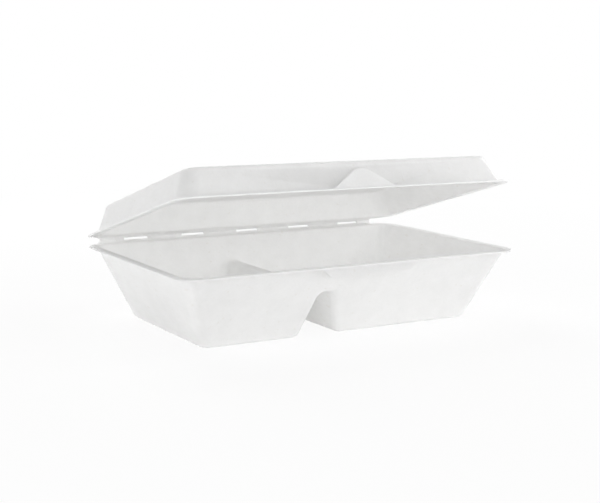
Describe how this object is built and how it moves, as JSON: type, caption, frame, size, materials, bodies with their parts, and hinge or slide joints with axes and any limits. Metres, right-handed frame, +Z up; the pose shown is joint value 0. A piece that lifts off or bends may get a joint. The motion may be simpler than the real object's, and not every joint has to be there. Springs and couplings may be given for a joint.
{
  "type": "bagasse meal box",
  "caption": "Rectangular moulded-pulp meal box with a small and a large compartment, a flat rim and a shallow lid on a slitted fold, standing open.",
  "frame": {"origin": "middle of the box's bounding footprint, on the surface that the tray stands on", "axes": "+X along the fold to the large compartment's side, +Y from the front to the fold, +Z up"},
  "size_m": [0.24, 0.1496, 0.1058],
  "materials": {
    "pulp": "matte pressed sugar-cane pulp with a fine fibrous grain"
  },
  "bodies": {
    "tray": {"tray": "pulp"},
    "lid": {"lid": "pulp"}
  },
  "joints": [
    {"name": "lid_hinge", "type": "hinge", "parent": "tray", "child": "lid", "pos_m": [0, 0.07437, 0.0477], "axis": [-1, 0, 0], "range_deg": [-17, 164]}
  ]
}
